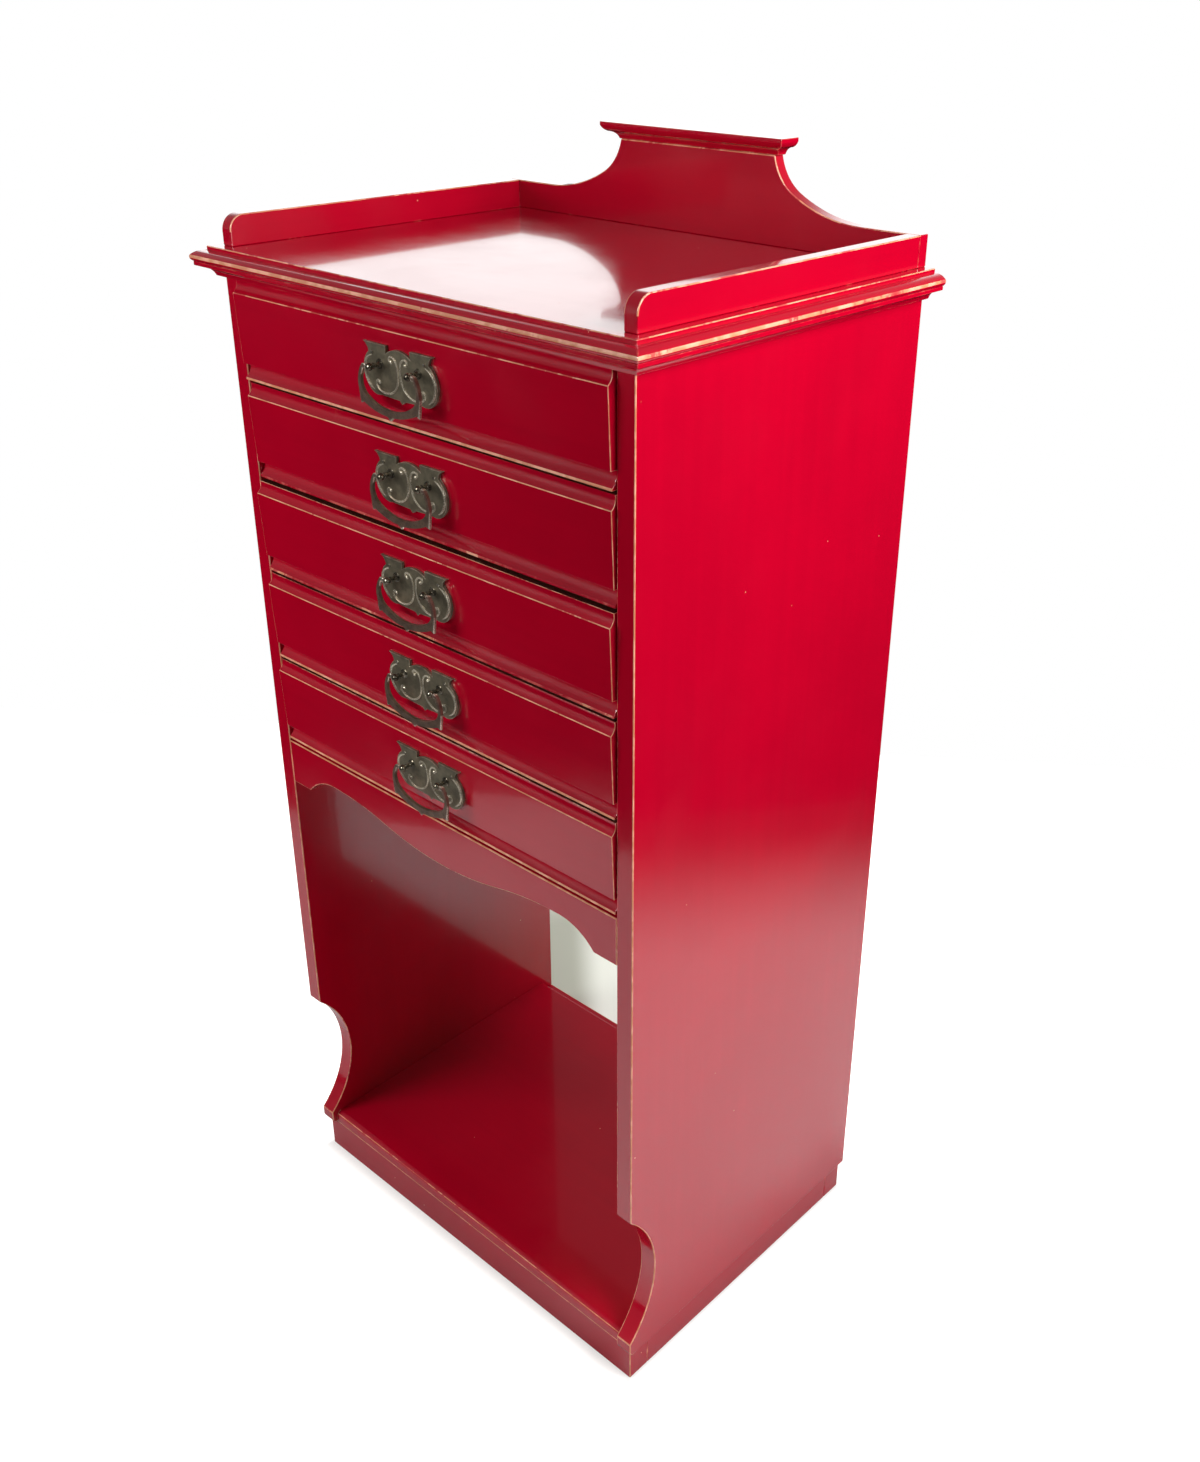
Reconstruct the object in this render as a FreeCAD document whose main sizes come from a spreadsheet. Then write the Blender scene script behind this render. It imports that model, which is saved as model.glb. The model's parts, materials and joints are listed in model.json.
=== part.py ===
import FreeCAD, Part
import math
import os
import Sketcher

# Every driving size, in millimetres. Each is one named cell of the sheet.
SIZES = {
    # Carcase
    "cabinet_width": 520.0,
    "cabinet_depth": 377.0,
    "side_thick": 19.0,
    "plinth_height": 42.5,
    "plinth_end_inset": 6.0,
    "plinth_front_inset": 6.5,
    "plinth_thick": 27.0,
    "bearer_width": 40.0,
    "shelf_thick": 14.5,
    "shelf_front_inset": 6.0,
    "shelf_back_inset": 19.5,
    "shelf_nose_radius": 7.0,
    "toe_height": 16.5,
    "toe_radius": 6.0,
    "scroll_height": 171.0,
    "scroll_depth": 36.5,
    "apron_bottom": 531.0,
    "apron_height": 50.5,
    "apron_thick": 19.0,
    "apron_flat": 29.0,
    "apron_peak_half": 168.0,
    "apron_rise": 20.3,
    "apron_gap": 0.5,
    "dust_board_thick": 10.0,
    "dust_board_drop": 11.5,
    "back_panel_thick": 10.0,
    "back_panel_inset": 3.0,
    # Top board and the moulded bed under it
    "bed_thick": 13.0,
    "bed_under_reach": 6.0,
    "bed_fillet_reach": 20.0,
    "bed_fillet_height": 3.7,
    "bed_cavetto_radius": 13.0,
    "top_thick": 14.0,
    "top_bead_reach": 19.5,
    "top_tip_reach": 22.5,
    "top_tip_low": 3.5,
    "top_tip_high": 5.5,
    "top_tip_radius": 4.5,
    "top_ovolo_radius": 14.0,
    "top_fillet_reach": 10.3,
    "top_fillet_height": 3.8,
    # Gallery
    "rail_height": 28.0,
    "rail_thick": 13.5,
    "rail_front_inset": 1.5,
    "rail_nose_radius": 15.0,
    "gallery_thick": 13.0,
    "gallery_level_half": 197.0,
    "gallery_ogee_half": 119.0,
    "gallery_ogee_rise": 21.0,
    "neck_half": 97.0,
    "neck_height": 80.5,
    "neck_curve_radius": 48.0,
    "cap_half": 114.0,
    "cap_reach": 13.0,
    "cap_height": 16.0,
    "cap_tip": 3.2,
    "cap_margin": 3.0,
    "cap_waist_inset": 6.0,
    "cap_waist_height": 7.0,
    "cap_curve_radius": 9.0,
    # Drawers
    "drawer_pitch": 96.9,
    "drawer_gap": 3.5,
    "end_gap": 1.5,
    "lip_edge": 2.0,
    "lip_height": 15.7,
    "lip_cove_radius": 13.8,
    "quirk_depth": 6.0,
    "quirk_land": 1.0,
    "field_lean": 2.9,
    "field_proud": 1.0,
    "cove_height": 11.9,
    "cove_depth": 4.6,
    "cove_radius": 10.4,
    "front_thick": 16.0,
    "tray_rise": 2.5,
    "tray_inset": 3.0,
    "tray_wall": 10.0,
    "tray_wall_height": 68.0,
    "tray_bottom_thick": 6.0,
    "tray_back_gap": 2.0,
    "runner_width": 14.0,
    "runner_height": 10.0,
    "runner_clearance": 0.4,
    "runner_front_gap": 4.0,
    "drawer_1_out": 3.8,
    "drawer_2_out": 0.4,
    "drawer_3_out": 2.4,
    "drawer_4_out": 1.4,
    "drawer_5_out": 0.6,
    # Drop handles
    "handle_lift": 4.1,
    "plate_thick": 3.0,
    "horn_top": 17.0,
    "horn_outer_half": 46.0,
    "horn_inner_half": 15.5,
    "horn_curve_radius": 9.0,
    "dome_half": 16.3,
    "dome_foot": 10.0,
    "dome_rise": 5.2,
    "neck_outer_half": 39.0,
    "neck_level": 9.0,
    "lobe_radius": 21.0,
    "lobe_low_half": 41.0,
    "lobe_low_drop": 24.0,
    "lobe_toe_radius": 14.0,
    "lobe_toe_half": 27.0,
    "lobe_toe_drop": 27.2,
    "plate_point_half": 3.0,
    "plate_waist_drop": 28.0,
    "plate_point_drop": 31.0,
    "post_spacing": 50.0,
    "post_radius": 2.2,
    "post_reach": 14.0,
    "post_root": 11.0,
    "post_clearance": 0.05,
    "ball_radius": 3.6,
    "pin_spacing": 68.0,
    "pin_level": 9.0,
    "pin_radius": 0.8,
    "pin_root": 9.0,
    "pin_clearance": 0.05,
    "pin_head_radius": 1.7,
    "pin_head_height": 1.1,
    "bail_thick": 3.2,
    "bail_side_gap": 0.7,
    "bail_pin_radius": 1.2,
    "bail_pin_clearance": 0.05,
    "bail_pin_inset": 1.0,
    "bail_end_half_height": 2.4,
    "bail_shoulder_half": 33.0,
    "bail_eye_half": 32.5,
    "bail_wide_half": 40.0,
    "bail_wide_drop": 17.0,
    "bail_limb_radius": 26.0,
    "bail_cusp_half": 38.6,
    "bail_cusp_drop": 33.0,
    "bail_heel_half": 34.0,
    "bail_heel_drop": 30.8,
    "bail_keel_half": 3.6,
    "bail_keel_drop": 38.3,
    "bail_keel_radius": 75.0,
    "bail_point_drop": 42.6,
    "bail_inner_half": 35.5,
    "bail_inner_drop": 7.5,
    "bail_inner_limb_radius": 14.2,
    "bail_inner_low_half": 29.5,
    "bail_inner_low_drop": 25.0,
    "bail_inner_depth": 33.0,
}

DRAWERS = 5
UPRIGHT = FreeCAD.Vector(0, 0, 1)


class Size:
    """A named size, or a formula of named sizes, with the expression that gives it."""

    def __init__(self, value, text):
        self.value = value
        self.text = text

    def __add__(self, other):
        other = as_size(other)
        return Size(self.value + other.value, f"({self.text} + {other.text})")

    def __sub__(self, other):
        other = as_size(other)
        return Size(self.value - other.value, f"({self.text} - {other.text})")

    def __mul__(self, other):
        other = as_size(other)
        return Size(self.value * other.value, f"({self.text} * {other.text})")

    def __truediv__(self, other):
        other = as_size(other)
        return Size(self.value / other.value, f"({self.text} / {other.text})")

    def __neg__(self):
        return Size(-self.value, f"(-1 * {self.text})")

    def root(self):
        return Size(math.sqrt(self.value), f"sqrt({self.text})")


def as_size(number):
    """A plain number as a Size."""
    if isinstance(number, Size):
        return number
    return Size(float(number), f"{number}")


ZERO = as_size(0)

doc = FreeCAD.newDocument("MusicCabinet")
sheet = doc.addObject("Spreadsheet::Sheet", "Sizes")
S = {}
for row, (name, value) in enumerate(SIZES.items(), start=1):
    sheet.set(f"A{row}", name)
    sheet.set(f"B{row}", str(value))
    sheet.setAlias(f"B{row}", name)
    S[name] = Size(value, f"Sizes.{name}")
doc.recompute()

nodes = []


def node(obj, label):
    """Marks an object as one named sub-part."""
    obj.Label = label
    nodes.append(obj)
    return obj


def place(obj, x=ZERO, y=ZERO, z=ZERO):
    """Binds an object's position."""
    for axis, size in (("x", x), ("y", y), ("z", z)):
        obj.setExpression(f"Placement.Base.{axis}", size.text)
    return obj


def turn(obj, axis, degrees, text):
    """Turns an object about an axis through its own origin."""
    obj.Placement = FreeCAD.Placement(obj.Placement.Base, FreeCAD.Rotation(axis, degrees))
    obj.setExpression("Placement.Rotation.Angle", text)
    return obj


def board(x_low, y_low, z_low, x_length, y_length, z_length):
    """A rectangular board from its low corner and three lengths."""
    box = doc.addObject("Part::Box", "Board")
    box.setExpression("Length", x_length.text)
    box.setExpression("Width", y_length.text)
    box.setExpression("Height", z_length.text)
    return place(box, x_low, y_low, z_low)


def rod(radius, length):
    """A round bar standing on its own origin."""
    bar = doc.addObject("Part::Cylinder", "Rod")
    bar.setExpression("Radius", radius.text)
    bar.setExpression("Height", length.text)
    return bar


def group(parts, label=None):
    """Separate solids held as one object."""
    compound = doc.addObject("Part::Compound", "Group")
    compound.Links = parts
    if label:
        node(compound, label)
    return compound


def boolean(kind, base, tool):
    """A cut or a common solid of two objects."""
    result = doc.addObject(f"Part::{kind}", kind)
    result.Base = base
    result.Tool = tool
    return result


def convex(radius):
    """An edge that bows out of the outline."""
    return (1.0, radius)


def concave(radius):
    """An edge that bows into the outline."""
    return (-1.0, radius)


def chord_radius(half_chord, sagitta):
    """The radius of an arc from half its chord and its height."""
    return (half_chord * half_chord + sagitta * sagitta) / (sagitta * 2)


def arc_between(start, end, side, radius):
    """The shorter arc between two points, and whether it is drawn from its end."""
    chord = end - start
    half = chord.Length / 2
    sagitta = radius - math.sqrt(radius * radius - half * half)
    outward = FreeCAD.Vector(chord.y, -chord.x, 0).normalize()
    middle = (start + end) * 0.5 + outward * (side * sagitta)
    if side > 0:
        return Part.Arc(start, middle, end), False
    return Part.Arc(end, middle, start), True


def pin_point(sketch, geometry, position, x, y):
    """Fixes a sketch point by its two distances from the sketch origin."""
    for kind, axis, size in (("DistanceX", -2, x), ("DistanceY", -1, y)):
        if size is ZERO:
            sketch.addConstraint(Sketcher.Constraint("PointOnObject", geometry, position, axis))
        else:
            rule = Sketcher.Constraint(kind, -1, 1, geometry, position, size.value)
            index = sketch.addConstraint(rule)
            sketch.setExpression(f"Constraints[{index}]", size.text)


def prism(plane, corners, length, holes=(), symmetric=False, flip=False):
    """A padded outline: corners run anticlockwise as (x, y, edge to the next corner)."""
    body = doc.addObject("PartDesign::Body", "Body")
    sketch = body.newObject("Sketcher::SketchObject", "Outline")
    face = [item for item in body.Origin.OriginFeatures if item.Role == plane][0]
    sketch.AttachmentSupport = (face, [""])
    sketch.MapMode = "FlatFace"
    points = [FreeCAD.Vector(x.value, y.value, 0) for x, y, edge in corners]
    ends = []
    for index, (x, y, edge) in enumerate(corners):
        start = points[index]
        end = points[(index + 1) % len(points)]
        if edge:
            curve, backward = arc_between(start, end, edge[0], edge[1].value)
        else:
            curve, backward = Part.LineSegment(start, end), False
        geometry = sketch.addGeometry(curve)
        ends.append((geometry, 2, 1) if backward else (geometry, 1, 2))
    for index, (geometry, first, last) in enumerate(ends):
        following, its_first, its_last = ends[(index + 1) % len(ends)]
        rule = Sketcher.Constraint("Coincident", geometry, last, following, its_first)
        sketch.addConstraint(rule)
    for (x, y, edge), (geometry, first, last) in zip(corners, ends):
        pin_point(sketch, geometry, first, x, y)
        if edge:
            index = sketch.addConstraint(Sketcher.Constraint("Radius", geometry, edge[1].value))
            sketch.setExpression(f"Constraints[{index}]", edge[1].text)
    for x, y, radius in holes:
        circle = Part.Circle(FreeCAD.Vector(x.value, y.value, 0), UPRIGHT, radius.value)
        geometry = sketch.addGeometry(circle)
        pin_point(sketch, geometry, 3, x, y)
        index = sketch.addConstraint(Sketcher.Constraint("Radius", geometry, radius.value))
        sketch.setExpression(f"Constraints[{index}]", radius.text)
    pad = body.newObject("PartDesign::Pad", "Pad")
    pad.Profile = sketch
    pad.setExpression("Length", length.text)
    pad.Reversed = flip
    if symmetric:
        pad.SideType = "Symmetric"
    sketch.Visibility = False
    return body


def mirrored(half):
    """A whole outline from its right half, listed upwards: the edge goes to the next corner."""
    left = []
    for index in range(len(half) - 1, -1, -1):
        x, y, edge = half[index]
        joining = half[index - 1][2] if index else None
        if x is not ZERO:
            left.append((-x, y, joining))
    return left


# Shared places
half_width = S["cabinet_width"] / 2
front = -S["cabinet_depth"] / 2
rear = S["cabinet_depth"] / 2
inner_half = half_width - S["side_thick"]
inner_width = inner_half * 2
apron_top = S["apron_bottom"] + S["apron_height"]
drawers_low = apron_top + S["apron_gap"]
carcase_top = drawers_low + S["drawer_pitch"] * DRAWERS
bed_top = carcase_top + S["bed_thick"]
deck = bed_top + S["top_thick"]
panel_front = rear - S["back_panel_inset"] - S["back_panel_thick"]

# Sides: boards with a scrolled front edge over a rounded toe
foot = S["plinth_height"]
toe_top = foot + S["toe_height"]
scroll_top = toe_top + S["scroll_height"]
scroll_radius = chord_radius(S["scroll_height"] / 2, S["scroll_depth"])
side_outline = [
    (front + S["toe_radius"], foot, None),
    (rear, foot, None),
    (rear, carcase_top, None),
    (front, carcase_top, None),
    (front, scroll_top, concave(scroll_radius)),
    (front, toe_top, None),
    (front, foot + S["toe_radius"], convex(S["toe_radius"])),
]
left_side = node(prism("YZ_Plane", side_outline, S["side_thick"]), "left_side")
place(left_side, -half_width)
right_side = node(prism("YZ_Plane", side_outline, S["side_thick"]), "right_side")
place(right_side, inner_half)

# Base: a plinth frame with a middle bearer, and the shelf on it
plinth_half = half_width - S["plinth_end_inset"]
plinth_front = front + S["plinth_front_inset"]
plinth_run = rear - plinth_front - S["plinth_thick"] * 2
plinth_rails = []
for y_low in (plinth_front, rear - S["plinth_thick"]):
    rail = board(-plinth_half, y_low, ZERO, plinth_half * 2, S["plinth_thick"], foot)
    plinth_rails.append(rail)
group(plinth_rails, "plinth_rails")
plinth_ends = []
end_width = S["plinth_thick"]
bearer = S["bearer_width"]
for x_low, width in (
    (-plinth_half, end_width),
    (plinth_half - end_width, end_width),
    (-bearer / 2, bearer),
):
    plinth_ends.append(
        board(x_low, plinth_front + S["plinth_thick"], ZERO, width, plinth_run, foot)
    )
group(plinth_ends, "plinth_ends")

shelf_front = front + S["shelf_front_inset"]
shelf_back = rear - S["shelf_back_inset"]
shelf_top = foot + S["shelf_thick"]
nose = S["shelf_nose_radius"]
shelf_outline = [
    (shelf_front, foot, None),
    (shelf_back, foot, None),
    (shelf_back, shelf_top, None),
    (shelf_front + nose, shelf_top, convex(nose)),
    (shelf_front, shelf_top - nose, None),
]
node(prism("YZ_Plane", shelf_outline, inner_width, symmetric=True), "base_shelf")

# Apron: lower edge with two humps and a drop in the middle
flat_half = inner_half - S["apron_flat"]
peak_half = S["apron_peak_half"]
hump = S["apron_bottom"] + S["apron_rise"]
hump_radius = chord_radius(flat_half - peak_half, S["apron_rise"])
middle_half = peak_half / 2
middle_level = S["apron_bottom"] + S["apron_rise"] / 2
sweep_radius = chord_radius(middle_half, S["apron_rise"] / 2)
apron_right = [
    (ZERO, S["apron_bottom"], convex(sweep_radius)),
    (middle_half, middle_level, concave(sweep_radius)),
    (peak_half, hump, concave(hump_radius)),
    (flat_half, S["apron_bottom"], None),
    (inner_half, S["apron_bottom"], None),
    (inner_half, apron_top, None),
]
apron_outline = apron_right + mirrored(apron_right)
apron = node(prism("XZ_Plane", apron_outline, S["apron_thick"], flip=True), "apron")
place(apron, ZERO, front)

# Dust board, back panel and drawer runners
dust_top = apron_top - S["dust_board_drop"]
dust_low = dust_top - S["dust_board_thick"]
dust_front = front + S["apron_thick"]
node(
    board(
        -inner_half,
        dust_front,
        dust_low,
        inner_width,
        panel_front - dust_front,
        S["dust_board_thick"],
    ),
    "dust_board",
)
node(
    board(
        -inner_half,
        panel_front,
        dust_low,
        inner_width,
        S["back_panel_thick"],
        carcase_top - dust_low,
    ),
    "back_panel",
)
tray_low = S["drawer_gap"] + S["tray_rise"]
runner_drop = S["runner_clearance"] + S["runner_height"]
runner_front = front + S["front_thick"] + S["runner_front_gap"]
runners = []
for number in range(DRAWERS):
    runner_low = drawers_low + S["drawer_pitch"] * number + tray_low - runner_drop
    for x_low in (-inner_half, inner_half - S["runner_width"]):
        runners.append(
            board(
                x_low,
                runner_front,
                runner_low,
                S["runner_width"],
                panel_front - runner_front,
                S["runner_height"],
            )
        )
group(runners, "drawer_runners")


def moulded_board(label, bottom, profile, x_half, y_front, y_rear):
    """A board with one edge profile on its front and both ends, mitred at the corners."""
    right = [(x_half + reach, bottom + rise, edge) for reach, rise, edge in profile]
    ends = prism("XZ_Plane", right + mirrored(right), S["cabinet_depth"] * 2, symmetric=True)
    low = profile[0]
    high = profile[-1]
    across = [(y_rear, bottom + low[1], None), (y_rear, bottom + high[1], None)]
    for index in range(len(profile) - 1, -1, -1):
        reach, rise, edge = profile[index]
        joining = profile[index - 1][2] if index else None
        across.append((y_front - reach, bottom + rise, joining))
    run = prism("YZ_Plane", across, S["cabinet_width"] * 2, symmetric=True)
    return node(boolean("Common", ends, run), label)


# Top: a bed with a fillet over a hollow, and a board with a fillet and ovolo edge on it
bed_profile = [
    (S["bed_under_reach"], ZERO, concave(S["bed_cavetto_radius"])),
    (S["bed_fillet_reach"], S["bed_thick"] - S["bed_fillet_height"], None),
    (S["bed_fillet_reach"], S["bed_thick"], None),
]
moulded_board("bed_board", carcase_top, bed_profile, half_width, front, rear)
top_profile = [
    (S["top_bead_reach"], ZERO, convex(S["top_tip_radius"])),
    (S["top_tip_reach"], S["top_tip_low"], None),
    (S["top_tip_reach"], S["top_tip_high"], convex(S["top_ovolo_radius"])),
    (S["top_fillet_reach"], S["top_thick"] - S["top_fillet_height"], None),
    (S["top_fillet_reach"], S["top_thick"], None),
]
moulded_board("top_board", bed_top, top_profile, half_width, front, rear)

# Gallery: two low rails, a shaped back board and its moulded cap
gallery_front = rear - S["gallery_thick"]
rail_front = front + S["rail_front_inset"]
rail_top = deck + S["rail_height"]
rail_nose = S["rail_nose_radius"]
rail_outline = [
    (rail_front, deck, None),
    (gallery_front, deck, None),
    (gallery_front, rail_top, None),
    (rail_front + rail_nose, rail_top, convex(rail_nose)),
    (rail_front, rail_top - rail_nose, None),
]
gallery_rails = []
for x_low in (-half_width, half_width - S["rail_thick"]):
    gallery_rails.append(place(prism("YZ_Plane", rail_outline, S["rail_thick"]), x_low))
group(gallery_rails, "gallery_rails")

level_half = S["gallery_level_half"]
ogee_half = S["gallery_ogee_half"]
ogee_rise = S["gallery_ogee_rise"]
neck_top = deck + S["neck_height"]
gallery_right = [
    (half_width, deck, None),
    (half_width, rail_top, None),
    (level_half, rail_top, concave(chord_radius(level_half - ogee_half, ogee_rise))),
    (ogee_half, rail_top + ogee_rise, concave(S["neck_curve_radius"])),
    (S["neck_half"], neck_top, None),
]
gallery_outline = gallery_right + mirrored(gallery_right)
gallery_back = node(
    prism("XZ_Plane", gallery_outline, S["gallery_thick"], flip=True), "gallery_back"
)
place(gallery_back, ZERO, gallery_front)
cap_out = S["cap_half"] - S["neck_half"]
cap_profile = [
    (S["cap_margin"], ZERO, concave(S["cap_curve_radius"])),
    (cap_out - S["cap_waist_inset"], S["cap_waist_height"], convex(S["cap_curve_radius"])),
    (cap_out, S["cap_height"] - S["cap_tip"], None),
    (cap_out, S["cap_height"], None),
]
cap_front = gallery_front + cap_out - S["cap_reach"]
moulded_board("gallery_cap", neck_top, cap_profile, S["neck_half"], cap_front, rear)

# Drawer sections, from the drawer's own front plane and floor line
pitch = S["drawer_pitch"]
lip_low = S["drawer_gap"]
field_low = lip_low + S["lip_height"]
field_high = pitch - S["cove_height"]
field_height = field_high - field_low
field_high_y = -(S["field_proud"] + S["field_lean"])
mould_back = S["quirk_depth"] + S["quirk_land"]
front_half = inner_half - S["end_gap"]
front_section = [
    (mould_back, lip_low, None),
    (S["front_thick"], lip_low, None),
    (S["front_thick"], pitch, None),
    (field_high_y + S["cove_depth"], pitch, concave(S["cove_radius"])),
    (field_high_y, field_high, None),
    (-S["field_proud"], field_low, None),
    (mould_back, field_low, None),
]
lip_section = [
    (ZERO, lip_low, None),
    (mould_back, lip_low, None),
    (mould_back, field_low, None),
    (S["quirk_depth"], field_low, concave(S["lip_cove_radius"])),
    (ZERO, lip_low + S["lip_edge"], None),
]

# Handle places, measured along the leaning field and square to it
slope = (field_height * field_height + S["field_lean"] * S["field_lean"]).root()
along_y = -S["field_lean"] / slope
along_z = field_height / slope
lean_text = f"atan({S['field_lean'].text} / {field_height.text})"
lean_degrees = math.degrees(math.atan2(S["field_lean"].value, field_height.value))
square_text = f"90 deg + {lean_text}"
square_degrees = 90.0 + lean_degrees
ACROSS = FreeCAD.Vector(1, 0, 0)
SIDEWAYS = FreeCAD.Vector(0, 1, 0)


def field_point(rise, reach):
    """A point on the field: up along it from its lower edge, and out square to it."""
    y = -S["field_proud"] + along_y * rise - along_z * reach
    z = field_low + along_z * rise + along_y * reach
    return y, z


def outward(obj, x, y, z):
    """Stands an upright object square to the field."""
    turn(obj, ACROSS, square_degrees, square_text)
    return place(obj, x, y, z)


dome_radius = chord_radius(S["dome_half"], S["dome_rise"])
plate_right = [
    (ZERO, -S["plate_point_drop"], None),
    (S["plate_point_half"], -S["plate_waist_drop"], None),
    (S["lobe_toe_half"], -S["lobe_toe_drop"], convex(S["lobe_toe_radius"])),
    (S["lobe_low_half"], -S["lobe_low_drop"], convex(S["lobe_radius"])),
    (S["neck_outer_half"], S["neck_level"], concave(S["horn_curve_radius"])),
    (S["horn_outer_half"], S["horn_top"], None),
    (S["horn_inner_half"], S["horn_top"], None),
    (S["dome_half"], S["dome_foot"], convex(dome_radius)),
]
plate_outline = plate_right + mirrored(plate_right)
post_hole = S["post_radius"] + S["post_clearance"]
pin_hole = S["pin_radius"] + S["pin_clearance"]
post_half = S["post_spacing"] / 2
pin_half = S["pin_spacing"] / 2
plate_holes = [
    (post_half, ZERO, post_hole),
    (-post_half, ZERO, post_hole),
    (pin_half, S["pin_level"], pin_hole),
    (-pin_half, S["pin_level"], pin_hole),
]
bail_end_half = post_half + S["ball_radius"] + S["bail_side_gap"]
bail_bow_radius = chord_radius(
    S["bail_inner_low_half"], S["bail_inner_depth"] - S["bail_inner_low_drop"]
)
bail_right = [
    (ZERO, -S["bail_point_drop"], None),
    (S["bail_keel_half"], -S["bail_keel_drop"], convex(S["bail_keel_radius"])),
    (S["bail_heel_half"], -S["bail_heel_drop"], None),
    (S["bail_cusp_half"], -S["bail_cusp_drop"], None),
    (S["bail_wide_half"], -S["bail_wide_drop"], convex(S["bail_limb_radius"])),
    (S["bail_shoulder_half"], S["bail_end_half_height"], None),
    (bail_end_half, S["bail_end_half_height"], None),
    (bail_end_half, -S["bail_end_half_height"], None),
    (S["bail_eye_half"], -S["bail_end_half_height"], None),
    (S["bail_inner_half"], -S["bail_inner_drop"], concave(S["bail_inner_limb_radius"])),
    (S["bail_inner_low_half"], -S["bail_inner_low_drop"], concave(bail_bow_radius)),
]
bail_outline = bail_right + mirrored(bail_right)
bail_pin_end = post_half - S["ball_radius"] + S["bail_pin_inset"]
bail_root = bail_end_half + S["bail_side_gap"]


def make_drawer(number, y, z):
    """One drawer: its box, its moulded front and its drop handle."""
    name = f"drawer_{number}"
    rise = field_height / 2 + S["handle_lift"]
    wall = S["tray_wall"]

    # Front board, bored for the handle's posts and pins
    root_y, root_z = field_point(rise, -S["post_root"])
    nail_y, nail_z = field_point(rise + S["pin_level"], -S["pin_root"])
    bores = []
    for side in (-1, 1):
        bore = rod(post_hole, S["post_root"] * 2)
        bores.append(outward(bore, post_half * side, y + root_y, z + root_z))
        bore = rod(pin_hole, S["pin_root"] * 2)
        bores.append(outward(bore, pin_half * side, y + nail_y, z + nail_z))
    plain = prism("YZ_Plane", front_section, front_half * 2, symmetric=True)
    place(plain, ZERO, y, z)
    node(boolean("Cut", plain, group(bores)), f"{name}_front")
    lip = prism("YZ_Plane", lip_section, front_half * 2, symmetric=True)
    node(place(lip, ZERO, y, z), f"{name}_lip")

    # Box: a bottom, two sides and a back standing on it
    tray_half = inner_half - S["tray_inset"]
    tray_front = y + S["front_thick"]
    tray_length = panel_front - S["tray_back_gap"] - front - S["front_thick"]
    wall_low = z + tray_low + S["tray_bottom_thick"]
    node(
        board(
            -tray_half,
            tray_front,
            z + tray_low,
            tray_half * 2,
            tray_length,
            S["tray_bottom_thick"],
        ),
        f"{name}_bottom",
    )
    walls = []
    for x_low in (-tray_half, tray_half - wall):
        walls.append(
            board(x_low, tray_front, wall_low, wall, tray_length, S["tray_wall_height"])
        )
    group(walls, f"{name}_sides")
    back_y = tray_front + tray_length - wall
    back_width = tray_half * 2 - wall * 2
    node(
        board(wall - tray_half, back_y, wall_low, back_width, wall, S["tray_wall_height"]),
        f"{name}_back",
    )

    # Backplate on the leaning field
    plate_y, plate_z = field_point(rise, ZERO)
    plate = prism("XZ_Plane", plate_outline, S["plate_thick"], plate_holes)
    turn(plate, ACROSS, lean_degrees, lean_text)
    node(place(plate, ZERO, y + plate_y, z + plate_z), f"{name}_handle_plate")

    # Posts with bored ball ends, and the pins that hold the plate
    ball_y, ball_z = field_point(rise, S["post_reach"])
    head_y, head_z = field_point(rise + S["pin_level"], S["plate_thick"])
    posts = []
    pins = []
    for side in (-1, 1):
        stem = rod(S["post_radius"], S["post_root"] + S["post_reach"])
        outward(stem, post_half * side, y + root_y, z + root_z)
        ball = doc.addObject("Part::Sphere", "Ball")
        ball.setExpression("Radius", S["ball_radius"].text)
        place(ball, post_half * side, y + ball_y, z + ball_z)
        post = doc.addObject("Part::MultiFuse", "Post")
        post.Shapes = [stem, ball]
        eye = rod(S["bail_pin_radius"] + S["bail_pin_clearance"], S["ball_radius"] * 4)
        turn(eye, SIDEWAYS, 90.0, "90 deg")
        place(eye, post_half * side - S["ball_radius"] * 2, y + ball_y, z + ball_z)
        posts.append(boolean("Cut", post, eye))
        shank = rod(S["pin_radius"], S["pin_root"] + S["plate_thick"])
        outward(shank, pin_half * side, y + nail_y, z + nail_z)
        head = rod(S["pin_head_radius"], S["pin_head_height"])
        outward(head, pin_half * side, y + head_y, z + head_z)
        pin = doc.addObject("Part::MultiFuse", "Pin")
        pin.Shapes = [shank, head]
        pins.append(pin)
    group(posts, f"{name}_handle_posts")
    group(pins, f"{name}_handle_pins")

    # Bail: a flat bow whose end pins turn in the balls
    bow = prism("XZ_Plane", bail_outline, S["bail_thick"], symmetric=True)
    place(bow, ZERO, y + ball_y, z + ball_z)
    pivots = []
    for x_low in (bail_pin_end, -bail_root):
        pivot = rod(S["bail_pin_radius"], bail_root - bail_pin_end)
        turn(pivot, SIDEWAYS, 90.0, "90 deg")
        pivots.append(place(pivot, x_low, y + ball_y, z + ball_z))
    bail = doc.addObject("Part::MultiFuse", "Bail")
    bail.Shapes = [bow] + pivots
    node(bail, f"{name}_bail")


for number in range(1, DRAWERS + 1):
    floor_line = drawers_low + pitch * (DRAWERS - number)
    make_drawer(number, front - S[f"drawer_{number}_out"], floor_line)

doc.recompute()
for obj in doc.Objects:
    if "Invalid" in obj.State or "Error" in obj.State:
        raise RuntimeError(f"{obj.Name} did not rebuild")
os.makedirs("parts", exist_ok=True)
for obj in nodes:
    if obj.Shape.isNull() or not obj.Shape.isValid() or not obj.Shape.Solids:
        raise RuntimeError(f"{obj.Label} has no valid shape")
    obj.Shape.exportStep(f"parts/{obj.Label}.step")
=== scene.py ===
"""Dresses the sheet music cabinet: worn gloss red paint, bare inner wood, bronze drop handles."""

import json
import logging
import math
from dataclasses import dataclass, field
from enum import Enum
from typing import Iterable, Sequence

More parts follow.
